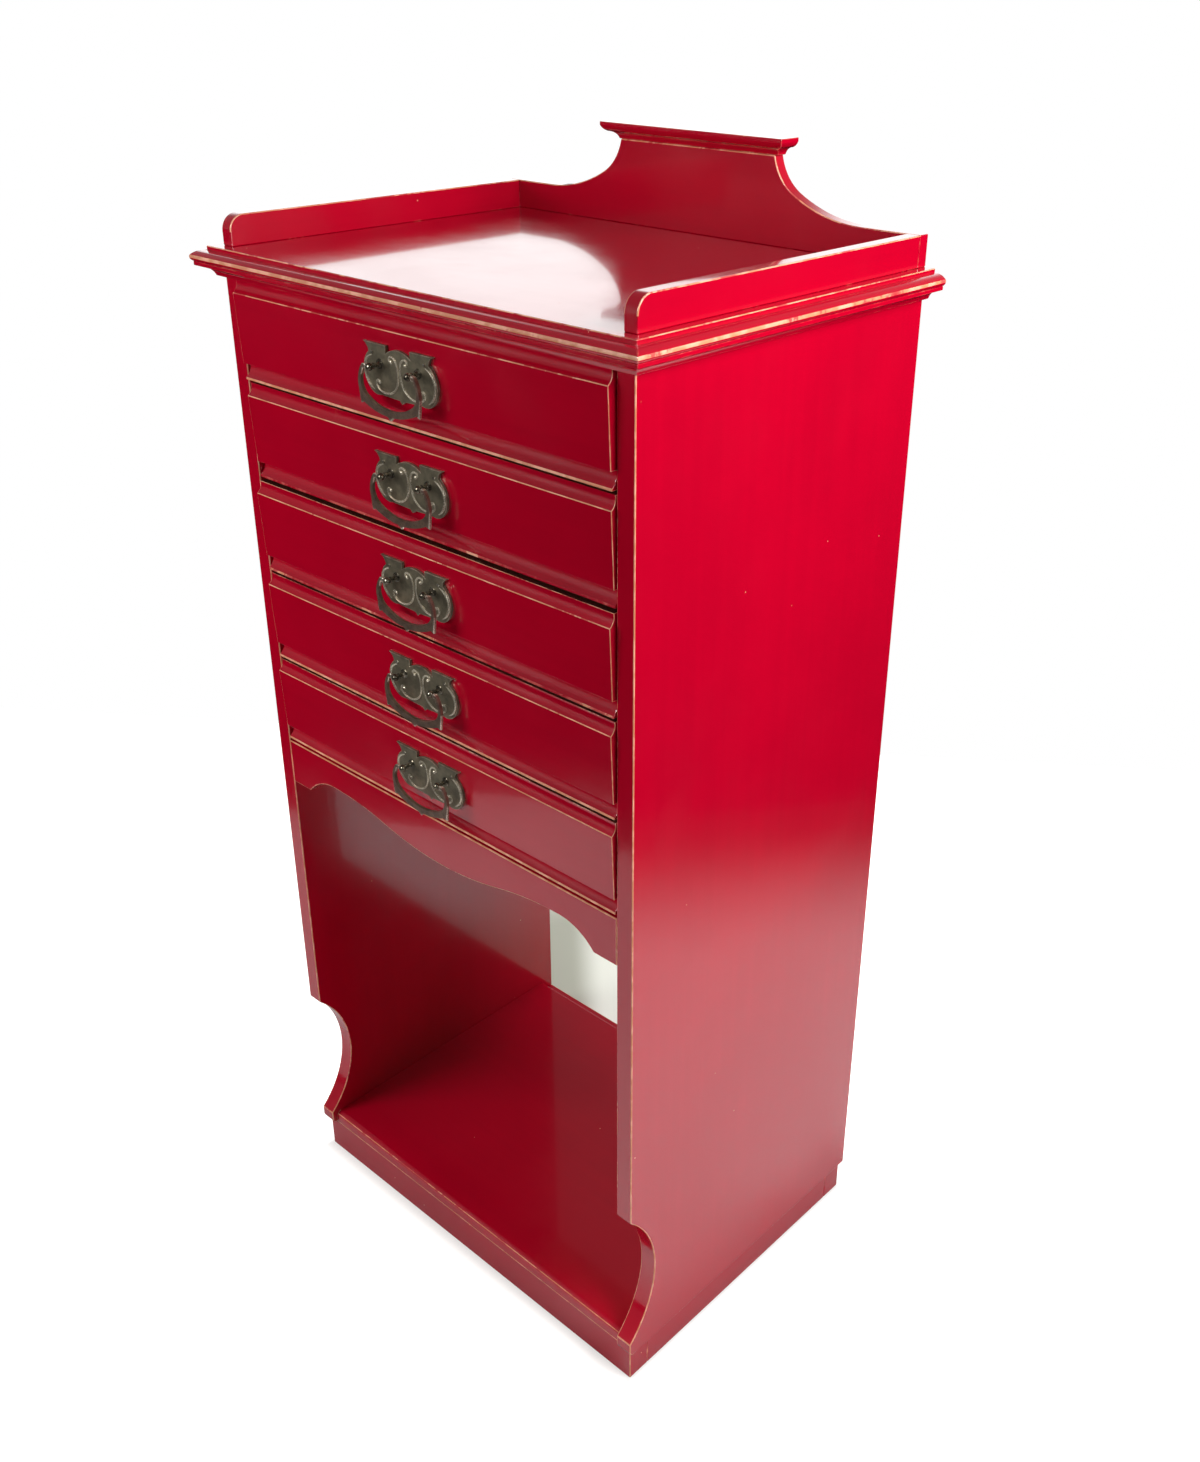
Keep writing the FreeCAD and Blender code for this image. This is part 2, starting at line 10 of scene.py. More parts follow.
import bmesh
import bpy
from mathutils import Matrix, Vector


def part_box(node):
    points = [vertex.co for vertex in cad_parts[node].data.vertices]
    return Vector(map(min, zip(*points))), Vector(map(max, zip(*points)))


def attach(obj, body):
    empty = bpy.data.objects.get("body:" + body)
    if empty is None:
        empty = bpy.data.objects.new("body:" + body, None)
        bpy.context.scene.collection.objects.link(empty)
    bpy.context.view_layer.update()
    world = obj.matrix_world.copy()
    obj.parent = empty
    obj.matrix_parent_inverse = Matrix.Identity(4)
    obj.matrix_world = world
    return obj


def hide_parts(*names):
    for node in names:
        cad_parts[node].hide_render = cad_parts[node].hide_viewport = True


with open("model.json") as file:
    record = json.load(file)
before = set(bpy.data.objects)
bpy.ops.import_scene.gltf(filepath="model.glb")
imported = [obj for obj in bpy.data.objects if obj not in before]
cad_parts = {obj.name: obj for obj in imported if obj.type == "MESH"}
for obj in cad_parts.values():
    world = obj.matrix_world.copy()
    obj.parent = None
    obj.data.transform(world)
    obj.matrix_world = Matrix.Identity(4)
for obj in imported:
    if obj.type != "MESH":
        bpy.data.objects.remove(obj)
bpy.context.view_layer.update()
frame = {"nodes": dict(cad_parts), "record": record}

LOG = logging.getLogger("music_cabinet")
# The face attribute for wear; below zero it marks painted shade, partly dirt.
WEAR_AND_SHADE = "wear"
MM = 0.001
MIX_SHARE, MIX_FIRST, MIX_SECOND, MIX_RESULT = 0, 6, 7, 2  # a Mix node's colour sockets
NUMBER_STEPS = ("DOT_PRODUCT", "DISTANCE")  # vector steps that give a number
# Wear of each drawer's lip, top edge and field arrises, from the first drawer down.
DRAWER_WEAR = ((0.95, 0.15, 0.54), (0.28, 0.18, 0.64), (0.34, 0.58, 0.56), (0.66, 0.36, 0.56),
               (0.70, 0.46, 0.60))

Colour = tuple[float, float, float]
Point = tuple[float, float, float]
Place = tuple[float, float]
Socket = bpy.types.NodeSocket
Material = bpy.types.Material
Piece = bpy.types.Object
Shape = bmesh.types.BMesh
Face = bmesh.types.BMFace


def even(value: float) -> Point:
    """The same value on all three axes or colours."""
    return (value, value, value)


def everything(shape: Shape) -> list:
    """A mesh's vertices, edges and faces in one list."""
    return shape.verts[:] + shape.edges[:] + shape.faces[:]


class Grain(Enum):
    """The way a board's fibres and brush strokes run."""

    ACROSS = "x"
    DEPTH = "y"
    UPRIGHT = "z"

    def stretch(self, along: float, over: float) -> Point:
        """Frequencies on X, Y and Z from those along this grain and over it."""
        return tuple(along if axis == self.value else over for axis in "xyz")


class Slot(Enum):
    """The record's material slots."""

    PAINT = "red_paint"
    WOOD = "bare_wood"
    BRONZE = "bronze"


class Ray(Enum):
    """The ways in which a lamp can be seen."""

    CAMERA = "visible_camera"
    DIFFUSE = "visible_diffuse"
    GLOSSY = "visible_glossy"


class Graph:
    """A material's or world's node tree, with short calls to fill it."""

    def __init__(self, owner: bpy.types.ID) -> None:
        """Clears the owner's node tree.

        Args:
            owner: The material or world.
        """
        owner.use_nodes = True
        self.tree = owner.node_tree
        self.tree.nodes.clear()

    def add(self, kind: str, sockets: dict | None = None, **settings: object) -> bpy.types.Node:
        """Adds one node.

        Args:
            kind: The node's type without its ShaderNode prefix.
            sockets: Input names or numbers, each with a value or an output to link.
            settings: Properties of the node itself.

        Returns:
            The node.
        """
        node = self.tree.nodes.new("ShaderNode" + kind)
        for name, value in settings.items():
            setattr(node, name, value)
        for name, value in (sockets or {}).items():
            if isinstance(value, Socket):
                self.tree.links.new(value, node.inputs[name])
            else:
                node.inputs[name].default_value = value
        return node

    def math(self, step: str, first: object, second: object = 0.0, third: object = 0.0) -> Socket:
        """Adds one step of arithmetic on numbers or outputs."""
        return self.add("Math", {0: first, 1: second, 2: third}, operation=step).outputs[0]

    def vector(self, step: str, first: object, second: Point = (0.0, 0.0, 0.0)) -> Socket:
        """Adds one step on vectors, which gives a vector or a number."""
        node = self.add("VectorMath", {0: first, 1: second}, operation=step)
        return node.outputs["Value" if step in NUMBER_STEPS else "Vector"]

    def ramp(self, value: object, low: float, high: float, start: float = 0.0,
             end: float = 1.0) -> Socket:
        """Maps a value smoothly, from start at low to end at high."""
        sockets = {"Value": value, "From Min": low, "From Max": high, "To Min": start,
                   "To Max": end}
        return self.add("MapRange", sockets, interpolation_type="SMOOTHSTEP").outputs["Result"]

    def mix(self, share: object, first: object, second: object) -> Socket:
        """Mixes two colours.

        Args:
            share: The share of the second.
            first: A colour or an output.
            second: A colour or an output.

        Returns:
            The mixed colour.
        """
        node = self.add("Mix", data_type="RGBA")
        for index, value in ((MIX_SHARE, share), (MIX_FIRST, first), (MIX_SECOND, second)):
            if isinstance(value, Socket):
                self.tree.links.new(value, node.inputs[index])
            elif index == MIX_SHARE:
                node.inputs[index].default_value = value
            else:
                node.inputs[index].default_value = (*value, 1.0)
        return node.outputs[MIX_RESULT]

    def where(self) -> Socket:
        """The place on the piece, in metres."""
        return self.add("TexCoord").outputs["Object"]

    def wear(self) -> Socket:
        """How worn the face is; below zero, how much painted shade it gets."""
        return self.add("Attribute", attribute_name=WEAR_AND_SHADE).outputs["Fac"]

    def seen(self) -> Socket:
        """1 for what the picture shows at first hand, 0 for light and reflections."""
        return self.add("LightPath").outputs["Is Camera Ray"]

    def place(self, stretch: Point) -> Socket:
        """Object coordinates times frequencies per metre."""
        return self.add("Mapping", {"Vector": self.where(), "Scale": stretch}).outputs["Vector"]

    def noise(self, stretch: Point, detail: float = 3.0, rough: float = 0.55) -> Socket:
        """A noise pattern fixed to the piece, mostly between 0.3 and 0.7."""
        sockets = {"Vector": self.place(stretch), "Scale": 1.0, "Detail": detail,
                   "Roughness": rough}
        return self.add("TexNoise", sockets).outputs["Fac"]

    def bump(self, height: object, strength: float, depth: float,
             under: object | None = None) -> Socket:
        """Turns a height into a shading normal.

        Args:
            height: The height pattern.
            strength: The bump's strength.
            depth: Its depth in metres.
            under: Another bump to add it to.

        Returns:
            The normal.
        """
        sockets = {"Height": height, "Strength": strength, "Distance": depth}
        if under is not None:
            sockets["Normal"] = under
        return self.add("Bump", sockets).outputs["Normal"]

    def finish(self, sockets: dict) -> None:
        """Closes a material with one surface shader.

        Args:
            sockets: The shader's inputs.
        """
        shader = self.add("BsdfPrincipled", sockets)
        output = self.add("OutputMaterial")
        self.tree.links.new(shader.outputs["BSDF"], output.inputs["Surface"])


class Finish:
    """A finish, whose material is made once for each grain and then shared."""

    name: str

    def material(self, grain: Grain | None = None) -> Material:
        """The finish's material.

        Args:
            grain: The way of the grain, where the finish has one.

        Returns:
            The material, filled on its first use.
        """
        title = f"{self.name}_{grain.name.lower()}" if grain else self.name
        made = bpy.data.materials.get(title)
        if made is None:
            made = bpy.data.materials.new(title)
            self.fill(Graph(made), grain)
        return made

    def fill(self, graph: Graph, grain: Grain | None) -> None:
        """Fills the material's empty tree."""
        raise NotImplementedError


@dataclass(frozen=True)
class GlossPaint(Finish):
    """Red gloss paint, rubbed through to a pale undercoat and to wood along the arrises.

    Rates are pattern frequencies per metre, depths are in metres.
    """

    name: str = "gloss_red"
    red: Colour = (0.50, 0.0002, 0.0180)
    deep_red: Colour = (0.45, 0.0001, 0.0165)
    undercoat: Colour = (0.95, 0.43, 0.27)
    bare: Colour = (0.74, 0.26, 0.12)
    pink: Colour = (0.70, 0.12, 0.10)
    # Painted shade, partly dirt: the dark for faces whose wear is below zero, in the gaps over the
    # drawers.
    gap_shade_and_grime: Colour = (0.075, 0.027, 0.017)
    gloss: float = 0.14
    haze: float = 0.07
    worn_dullness: float = 0.36
    ior: float = 1.52
    coat: float = 0.8
    coat_rough: float = 0.06
    coat_ior: float = 1.5
    cloud_rate: float = 5.0
    stroke_rates: Place = (2.5, 95.0)
    stroke_share: float = 0.35
    stroke_relief: float = 0.10
    stroke_depth: float = 0.0009
    peel_rate: float = 420.0
    peel_relief: float = 0.05
    peel_depth: float = 0.0004
    edge_relief: float = 0.35
    edge_depth: float = 0.0003
    haze_rate: float = 14.0
    undercoat_rate: float = 70.0
    broad_rate: float = 22.0
    broad_share: float = 0.95
    fine_rate: float = 190.0
    fine_share: float = 0.45
    pink_share: float = 0.8
    thin_from: float = 0.88
    bare_from: float = 1.12
    bare_full: float = 1.2
    chips: float = 0.22
    chip_rate: float = 60.0
    chip_size: float = 0.06
    chip_rim: float = 0.075

    def fill(self, graph: Graph, grain: Grain | None) -> None:
        """Fills the material's tree.

        Args:
            graph: The empty tree.
            grain: The way of the brush strokes.
        """
        cloud = graph.noise(even(self.cloud_rate), detail=4.0)
        streak = graph.noise(grain.stretch(*self.stroke_rates), detail=4.0, rough=0.6)
        strokes = graph.math("MULTIPLY_ADD", streak, self.stroke_share, cloud)
        tone = graph.ramp(strokes, 0.5, 0.85)
        red = graph.mix(tone, self.deep_red, self.red)
        worn, thin = self.worn(graph)
        patches = graph.ramp(graph.noise(even(self.undercoat_rate)), 0.42, 0.62)
        bare = graph.mix(patches, self.bare, self.undercoat)
        rubbed = graph.mix(graph.math("MULTIPLY", thin, self.pink_share), red, self.pink)
        # Painted shade, partly dirt, where the wear is below zero.
        shaded_top = graph.ramp(graph.wear(), -0.2, -0.8)
        colour = graph.mix(shaded_top, graph.mix(worn, rubbed, bare), self.gap_shade_and_grime)
        peel = graph.noise(even(self.peel_rate), detail=2.0)
        brushed = graph.bump(streak, self.stroke_relief, self.stroke_depth)
        uneven = graph.bump(peel, self.peel_relief, self.peel_depth, brushed)
        film = graph.math("SUBTRACT", 1.0, worn)
        edge = graph.bump(film, self.edge_relief, self.edge_depth, uneven)
        breath = graph.noise(even(self.haze_rate), detail=5.0)
        haze = graph.ramp(breath, 0.35, 0.75, self.gloss, self.gloss + self.haze)
        roughness = graph.math("MULTIPLY_ADD", worn, self.worn_dullness, haze)
        graph.finish({"Base Color": colour, "Roughness": roughness, "IOR": self.ior,
                      "Normal": edge, "Coat Weight": self.coat,
                      "Coat Roughness": self.coat_rough, "Coat IOR": self.coat_ior})

    def worn(self, graph: Graph) -> tuple[Socket, Socket]:
        """Where the paint is gone, and where it is rubbed thin.

        Args:
            graph: The material's tree.

        Returns:
            The two masks.
        """
        wear = graph.wear()
        broad = graph.noise(even(self.broad_rate), detail=2.0)
        fine = graph.noise(even(self.fine_rate), detail=3.0)
        patch = graph.math("MULTIPLY", broad, self.broad_share)
        patch = graph.math("MULTIPLY_ADD", fine, self.fine_share, patch)
        rub = graph.math("ADD", wear, patch)
        near_arris = graph.ramp(wear, 0.02, 0.12)
        gone = graph.ramp(rub, self.bare_from, self.bare_full)
        edge = graph.math("MULTIPLY", gone, near_arris)
        thin = graph.math("MULTIPLY", graph.ramp(rub, self.thin_from, self.bare_from), near_arris)
        sockets = {"Vector": graph.place(even(self.chip_rate)), "Scale": 1.0, "Randomness": 1.0}
        spots = graph.add("TexVoronoi", sockets).outputs
        rare = graph.ramp(spots["Color"], self.chips, self.chips * 0.8)
        ragged = graph.math("MULTIPLY_ADD", fine, 0.05, spots["Distance"])
        small = graph.ramp(ragged, self.chip_rim, self.chip_size)
        chip = graph.math("MULTIPLY", rare, small)
        return graph.math("MAXIMUM", edge, chip), thin


@dataclass(frozen=True)
class BareWood(Finish):
    """Unpainted softwood, browned with age. Rates and depths are as in the paint."""

    name: str = "bare_wood"
    light: Colour = (0.42, 0.25, 0.125)
    dark: Colour = (0.22, 0.115, 0.052)
    warp_rates: Place = (0.7, 11.0)
    fibre_rates: Place = (6.0, 420.0)
    grime_rate: float = 9.0
    rings: float = 24.0
    ring_share: float = 0.26
    fibre_share: float = 0.8
    relief: float = 0.25
    depth: float = 0.0005

    def fill(self, graph: Graph, grain: Grain | None) -> None:
        """Fills the material's tree.

        Args:
            graph: The empty tree.
            grain: The way of the grain.
        """
        warp = graph.noise(grain.stretch(*self.warp_rates), detail=1.0)
        rings = graph.math("FRACT", graph.math("MULTIPLY", warp, self.rings))
        fibre = graph.noise(grain.stretch(*self.fibre_rates), detail=4.0, rough=0.65)
        ring = graph.math("MULTIPLY", graph.ramp(rings, 0.0, 0.8), graph.ramp(rings, 1.0, 0.86))
        fibres = graph.math("MULTIPLY", fibre, self.fibre_share)
        tone = graph.math("MULTIPLY_ADD", ring, self.ring_share, fibres)
        wood = graph.mix(graph.ramp(tone, 0.2, 0.85), self.light, self.dark)
        dirt = graph.noise(even(self.grime_rate), detail=5.0)
        colour = graph.mix(graph.ramp(dirt, 0.45, 0.75, 0.0, 0.45), wood, self.dark)
        roughness = graph.ramp(fibre, 0.3, 0.7, 0.55, 0.75)
        graph.finish({"Base Color": colour, "Roughness": roughness,
                      "Normal": graph.bump(tone, self.relief, self.depth)})


@dataclass(frozen=True)
class AgedBronze(Finish):
    """Dark bronze with rubbed edges, partly a painted highlight. Rates and depths are as in the
    paint.
    """

    name: str = "aged_bronze"
    dark: Colour = (0.155, 0.134, 0.092)
    brown: Colour = (0.235, 0.205, 0.140)
    # Rubbed metal, partly a painted highlight on edges and ribs.
    rubbed: Colour = (0.72, 0.65, 0.51)
    metallic: float = 0.6
    rough: float = 0.32
    dullness: float = 0.14
    cloud_rate: float = 120.0
    cloud_share: float = 0.8
    pit_rate: float = 1500.0
    pit_relief: float = 0.2
    pit_depth: float = 0.0002

    def fill(self, graph: Graph, grain: Grain | None) -> None:
        """Fills the material's tree.

        Args:
            graph: The empty tree.
            grain: Not used, because metal has none.
        """
        cloud = graph.noise(even(self.cloud_rate), detail=5.0, rough=0.6)
        pits = graph.noise(even(self.pit_rate), detail=2.0)
        base = graph.mix(graph.ramp(cloud, 0.35, 0.65), self.dark, self.brown)
        # Lighter on worn faces: rubbed metal, partly a painted highlight.
        rub = graph.math("MULTIPLY_ADD", cloud, self.cloud_share, graph.wear())
        bright = graph.ramp(rub, 0.75, 1.25)
        colour = graph.mix(bright, base, self.rubbed)
        pitted = graph.ramp(pits, 0.3, 0.7, self.rough, self.rough + self.dullness)
        roughness = graph.math("MULTIPLY_ADD", bright, -self.dullness, pitted)
        graph.finish({"Base Color": colour, "Metallic": self.metallic, "Roughness": roughness,
                      "Normal": graph.bump(pits, self.pit_relief, self.pit_depth)})


@dataclass(frozen=True)
class WornZone:
    """A box of the cabinet, in millimetres, in which arrises are worn by a given amount.

    With flats, the flat faces in it are worn too. Wear below zero is painted shade, partly dirt.
    """

    across: Place
    depth: Place
    level: Place
    amount: float
    flats: bool = False

    def holds(self, point: Vector) -> bool:
        """Whether a point in metres lies in the zone."""
        spans = zip((self.across, self.depth, self.level), point)
        return all(low * MM <= value <= high * MM for (low, high), value in spans)


@dataclass(frozen=True)
class Board:
    """One CAD board to be shown with rounded, worn arrises."""

    node: str
    grain: Grain
    wear: float = 0.30
    bevel: float = 1.0 * MM
    slot: Slot = Slot.PAINT
    zones: tuple[WornZone, ...] = ()


class Bench:
    """Shared steps that turn CAD nodes into finished pieces, with lengths in metres."""

    paint = GlossPaint()
    wood = BareWood()
    bronze = AgedBronze()
    # The third colour of each is rubbed metal, partly a painted highlight.
    bail_bronze = AgedBronze("bail_bronze", (0.17, 0.112, 0.084), (0.26, 0.172, 0.130),
                             (0.85, 0.76, 0.62), 0.65, 0.27)
    dark_bronze = AgedBronze("dark_bronze", (0.06, 0.051, 0.036), (0.15, 0.130, 0.092),
                             (0.85, 0.79, 0.66), 0.8, 0.2)
    sharp = math.radians(30.0)
    flat = math.radians(0.6)
    weld = 2e-6
    handle_half = 0.06
    short_edge = 2.6 * MM
    wide_bevel = 0.9 * MM
    normal_weight = 80

    @classmethod
    def merged_copy(cls, node: str) -> Shape:
        """A CAD node's mesh with its triangles joined into flat faces.

        Args:
            node: The node's name.

        Returns:
            The joined mesh.
        """
        shape = bmesh.new()
        shape.from_mesh(frame["nodes"][node].data)
        shape.faces.layers.float.new(WEAR_AND_SHADE)
        for layer in list(shape.loops.layers.uv):
            shape.loops.layers.uv.remove(layer)
        bmesh.ops.remove_doubles(shape, verts=shape.verts, dist=cls.weld)
        bmesh.ops.dissolve_limit(shape, angle_limit=cls.flat, use_dissolve_boundaries=False,
                                 verts=shape.verts, edges=shape.edges)
        return shape

    @classmethod
    def round_arrises(cls, shape: Shape, width: float, segments: int = 3) -> list[Face]:
        """Rounds every outer arris, except short ones at the handles under a wide rounding.

        Args:
            shape: The mesh.
            width: The rounding's width in metres.
            segments: Faces across the rounding.

        Returns:
            The rounding's faces.
        """
        edges = []
        for edge in shape.edges:
            outer = len(edge.link_faces) == 2 and edge.is_convex
            if not outer or edge.calc_face_angle(0.0) < cls.sharp:
                continue
            near = all(abs(vert.co.x) < cls.handle_half for vert in edge.verts)
            if near and edge.calc_length() < cls.short_edge and width > cls.wide_bevel:
                continue
            edges.append(edge)
        made = bmesh.ops.bevel(shape, geom=edges, offset=width, offset_type="OFFSET",
                               segments=segments, profile=0.5, affect="EDGES", material=-1,
                               clamp_overlap=False)
        bmesh.ops.dissolve_degenerate(shape, dist=cls.weld, edges=shape.edges)
        return [face for face in made["faces"] if face.is_valid]

    @staticmethod
    def mark_wear(shape: Shape, arrises: Iterable[Face], base: float,
                  zones: Sequence[WornZone] = ()) -> None:
        """Writes how worn each face is, and below zero its painted shade.

        Args:
            shape: The mesh.
            arrises: The rounded faces.
            base: Their usual wear.
            zones: Boxes with another wear, the later ones over the earlier.
        """
        layer = shape.faces.layers.float[WEAR_AND_SHADE]
        rounded = set(arrises)
        for face in shape.faces:
            middle = face.calc_center_median()
            if face in rounded:
                face[layer] = base
            for zone in zones:
                if (zone.flats or face in rounded) and zone.holds(middle):
                    face[layer] = zone.amount

    @classmethod
    def piece(cls, shape: Shape, name: str, material: Material) -> Piece:
        """Makes an object of a mesh, smooth where it is rounded.

        Args:
            shape: The mesh, which is freed.
            name: The piece's name.
            material: Its finish.

        Returns:
            The object, at the origin.
        """
        for face in shape.faces:
            face.smooth = True
        for edge in shape.edges:
            edge.smooth = edge.calc_face_angle(0.0) < cls.sharp
        mesh = bpy.data.meshes.new(name)
        shape.to_mesh(mesh)
        shape.free()
        mesh.materials.append(material)
        made = bpy.data.objects.new(name, mesh)
        bpy.context.scene.collection.objects.link(made)
        normals = made.modifiers.new("even_normals", "WEIGHTED_NORMAL")
        normals.keep_sharp = True
        normals.weight = cls.normal_weight
        return made

    @classmethod
    def settle(cls, made: Piece, body: str, slot: Slot, *nodes: str) -> Piece:
        """Ties a piece to its body and hides the nodes it stands for.

        Args:
            made: The piece.
            body: The body that it moves with.
            slot: Its material slot; not used.
            nodes: The CAD nodes that it replaces.

        Returns:
            The piece.
        """
        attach(made, body)
        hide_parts(*nodes)
        LOG.info("%s on %s: %d faces", made.name, body, len(made.data.polygons))
        return made

    @classmethod
    def board(cls, plan: Board, body: str) -> Piece:
        """Finishes one board.

        Args:
            plan: The board.
            body: The body that it moves with.

        Returns:
            The piece.
        """
        shape = cls.merged_copy(plan.node)
        arrises = cls.round_arrises(shape, plan.bevel)
        cls.mark_wear(shape, arrises, plan.wear, plan.zones)
        finish = cls.paint if plan.slot is Slot.PAINT else cls.wood
        made = cls.piece(shape, f"{plan.node}_board", finish.material(plan.grain))
        return cls.settle(made, body, plan.slot, plan.node)


@dataclass
class Carcase:
    """The fixed case: sides, base, apron, inner boards and moulded top, in millimetres.

    The worn zones' levels are heights over the floor.
    """

    body: str = "carcase"
    half_width: float = 260.0
    inner_half: float = 241.0
    front: float = -188.5
    rear: float = 195.0
    tall: float = 1067.0
    edge: float = 2.0
    margin: float = 1.0
    scroll_depth: float = 45.0
    scroll_levels: Place = (40.0, 230.0)
    shelf_half: float = 245.0
    nose_depth: float = 12.0
    nose_levels: Place = (40.0, 60.0)
    nose_wear: float = 0.66
    line_depths: Place = (7.0, 8.0)
    line_levels: Place = (50.0, 56.6)
    line_wear: float = 0.52
    plinth_levels: Place = (40.0, 45.0)
    plinth_wear: float = 0.66
    plinth_corner: float = 10.0
    corner_wear: float = 0.70
    apron_levels: Place = (578.0, 583.0)
    apron_depth: float = 3.0
    apron_wear: float = 0.72
    top_half: float = 290.0
    bead_levels: Place = (1082.8, 1085.4)
    bead_depths: Place = (-216.0, -209.0)
    bead_end: float = 280.5
    bead_corner: Place = (262.0, -180.0)
    fillet_half: float = 272.0
    fillet_front: float = -202.0
    fillet_levels: Place = (1092.0, 1095.0)
    fillet_wear: float = 0.5
    # Wear of a side's outer arris, inner arris and scroll.
    left_wear: Point = (0.45, 0.76, 0.60)
    right_wear: Point = (0.84, 0.42, 0.66)
    # Wear of the bead's front, right end and right corner.
    bead_wear: Point = (0.62, 0.54, 0.9)

    def side_zones(self, side: float, wear: Point) -> tuple[WornZone, ...]:
        """The worn front of a side: its outer arris, inner arris and scroll.

        Args:
            side: -1 for the left side, 1 for the right.
            wear: The wear of the three.

        Returns:
            The zones.
        """
        half, inner, edge, margin = self.half_width, self.inner_half, self.edge, self.margin
        above = (self.scroll_levels[1], self.tall)
        spans = ((half - edge, half + margin, edge, above),
                 (inner - margin, inner + edge, edge, above),
                 (inner - margin, half + margin, self.scroll_depth, self.scroll_levels))
        zones = []
        for (near, far, depth, level), amount in zip(spans, wear):
            across = tuple(sorted((side * near, side * far)))
            zones.append(WornZone(across, (self.front - edge, self.front + depth), level, amount))
        return tuple(zones)

    def top_zones(self) -> tuple[WornZone, ...]:
        """The worn edges of the top board: three stretches of the bead, and the fillet.

        Returns:
            The zones.
        """
        top, (ahead, behind) = self.top_half, self.bead_depths
        corner, corner_rear = self.bead_corner
        spans = (((-top, top), (ahead, behind)), ((self.bead_end, top), (ahead, self.rear)),
                 ((corner, top), (ahead, corner_rear)))
        beads = [WornZone(across, depth, self.bead_levels, amount, flats=True)
                 for (across, depth), amount in zip(spans, self.bead_wear)]
        fillet = WornZone((-self.fillet_half, self.fillet_half), (self.fillet_front, self.rear),
                          self.fillet_levels, self.fillet_wear)
        return (*beads, fillet)

    def boards(self) -> list[Board]:
        """The case's boards with their wear.

        Returns:
            The boards.
        """
        half, front, nose = self.half_width, self.front, self.front + self.nose_depth
        shelf = (-self.shelf_half, self.shelf_half)
        shelf_nose = WornZone(shelf, (front, nose), self.nose_levels, self.nose_wear)
        line_depths = tuple(front + depth for depth in self.line_depths)
        nose_line = WornZone(shelf, line_depths, self.line_levels, self.line_wear, flats=True)
        plinth_top = WornZone((-half, half), (front, self.rear), self.plinth_levels,
                              self.plinth_wear)
        plinth_corner = WornZone((half - self.plinth_corner, half), (front, nose),
                                 (0.0, self.plinth_levels[1]), self.corner_wear)
        apron_top = WornZone(shelf, (front - self.edge, front + self.apron_depth),
                             self.apron_levels, self.apron_wear)
        left = self.side_zones(-1.0, self.left_wear)
        right = self.side_zones(1.0, self.right_wear)
        return [
            Board("left_side", Grain.UPRIGHT, wear=0.2, zones=left),
            Board("right_side", Grain.UPRIGHT, wear=0.2, zones=right),
            Board("base_shelf", Grain.ACROSS, wear=0.1, zones=(shelf_nose, nose_line)),
            Board("plinth_rails", Grain.ACROSS, wear=0.3, zones=(plinth_top, plinth_corner)),
            Board("plinth_ends", Grain.DEPTH, wear=0.3, zones=(plinth_top,)),
            Board("apron", Grain.ACROSS, wear=0.55, zones=(apron_top,)),
            Board("dust_board", Grain.ACROSS, slot=Slot.WOOD),
            Board("back_panel", Grain.UPRIGHT, slot=Slot.WOOD),
            Board("drawer_runners", Grain.DEPTH, slot=Slot.WOOD),
            Board("bed_board", Grain.ACROSS, wear=0.2, bevel=0.6 * MM),
            Board("top_board", Grain.ACROSS, wear=0.3, bevel=0.8 * MM, zones=self.top_zones()),
        ]

    def build(self) -> list[Piece]:
        """Builds and dresses every board."""
        return [Bench.board(plan, self.body) for plan in self.boards()]


@dataclass
class Gallery:
    """The low rails round the top, the shaped back and its cap, in millimetres."""

    body: str = "carcase"
    half: float = 262.0
    rail_depths: Place = (-190.0, 170.0)
    rail_levels: Place = (1105.0, 1123.0)
    back_depths: Place = (174.0, 178.0)
    back_levels: Place = (1119.0, 1175.0)
    wear: float = 0.1
    top_wear: float = 0.52
    cap_wear: float = 0.34

    def build(self) -> list[Piece]:
        """Builds and dresses the gallery.

        Returns:
            The pieces.
        """
        across = (-self.half, self.half)
        rail_tops = WornZone(across, self.rail_depths, self.rail_levels, self.top_wear)
        back_tops = WornZone(across, self.back_depths, self.back_levels, self.top_wear)
        plans = [
            Board("gallery_rails", Grain.DEPTH, wear=self.wear, zones=(rail_tops,)),
            Board("gallery_back", Grain.ACROSS, wear=self.wear, zones=(back_tops,)),
            Board("gallery_cap", Grain.ACROSS, wear=self.cap_wear, bevel=0.7 * MM),
        ]
        return [Bench.board(plan, self.body) for plan in plans]


